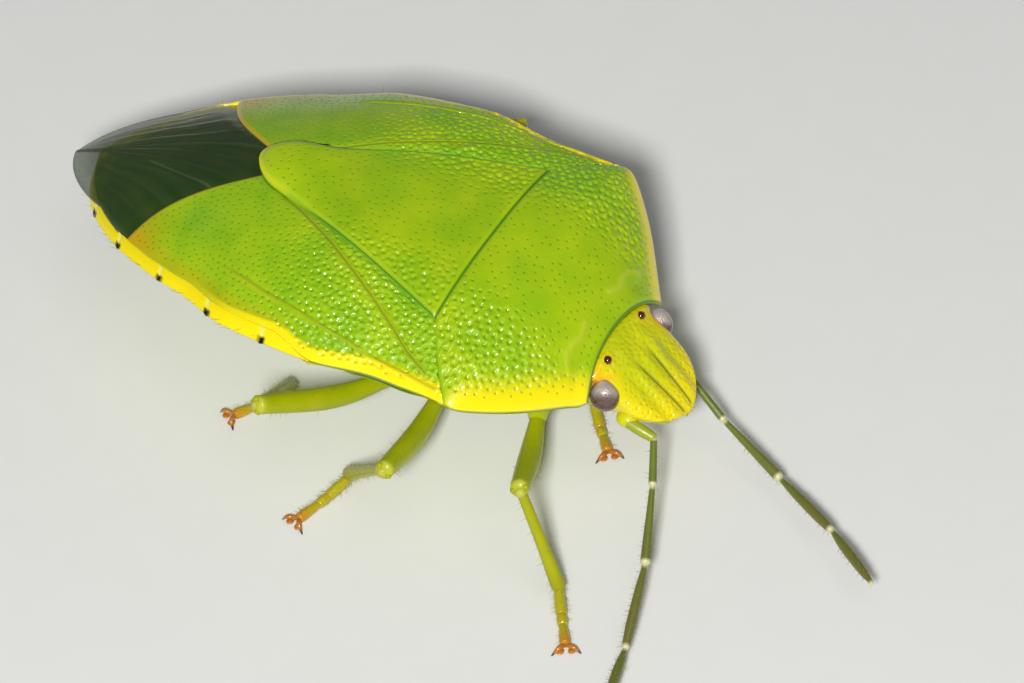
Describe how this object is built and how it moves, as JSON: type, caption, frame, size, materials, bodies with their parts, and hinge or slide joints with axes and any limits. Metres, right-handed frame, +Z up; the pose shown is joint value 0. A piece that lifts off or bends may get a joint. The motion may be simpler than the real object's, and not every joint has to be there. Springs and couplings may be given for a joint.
{
  "type": "shield bug",
  "caption": "Life-size still model of a green shield bug standing on its six feet: domed shields, half-leathery wings with a clear membrane, sloping head and jointed feelers",
  "frame": {"origin": "Middle of the model's footprint, at the level its feet stand on", "axes": "The head points to -Y, the bug's left side is at +X and +Z is up"},
  "size_m": [0.0146, 0.0216, 0.0057],
  "materials": {
    "shield_green": "pitted bright green cuticle with yellow margins",
    "wing_green": "pitted leathery green wing",
    "membrane_smoke": "smoky clear wing membrane",
    "belly_green": "smooth pale green cuticle, vivid yellow at the edge of the abdomen",
    "head_yellow_green": "wrinkled yellow-green cuticle",
    "eye_grey": "finely faceted grey-brown eye",
    "leg_olive": "smooth olive-green cuticle with fine hairs",
    "foot_orange": "olive to orange cuticle, black at the claw tips",
    "feeler_olive": "dull olive-brown cuticle with short bristles"
  },
  "bodies": {
    "root": {"pronotum": "shield_green", "scutellum": "shield_green", "corium_left": "wing_green", "corium_right": "wing_green", "membrane_left": "membrane_smoke", "membrane_right": "membrane_smoke", "thorax": "belly_green", "abdomen": "belly_green", "head": "head_yellow_green", "eye_left": "eye_grey", "eye_right": "eye_grey", "rostrum": "leg_olive", "femur_front_right": "leg_olive", "tibia_front_right": "leg_olive", "tarsus_front_right": "foot_orange", "femur_middle_right": "leg_olive", "tibia_middle_right": "leg_olive", "tarsus_middle_right": "foot_orange", "femur_hind_right": "leg_olive", "tibia_hind_right": "leg_olive", "tarsus_hind_right": "foot_orange", "femur_front_left": "leg_olive", "tibia_front_left": "leg_olive", "tarsus_front_left": "foot_orange", "femur_middle_left": "leg_olive", "tibia_middle_left": "leg_olive", "tarsus_middle_left": "foot_orange", "femur_hind_left": "leg_olive", "tibia_hind_left": "leg_olive", "tarsus_hind_left": "foot_orange", "antenna_right_scape": "feeler_olive", "antenna_right_second": "feeler_olive", "antenna_right_third": "feeler_olive", "antenna_right_fourth": "feeler_olive", "antenna_right_fifth": "feeler_olive", "antenna_left_scape": "feeler_olive", "antenna_left_second": "feeler_olive", "antenna_left_third": "feeler_olive", "antenna_left_fourth": "feeler_olive", "antenna_left_fifth": "feeler_olive"}
  },
  "joints": []
}
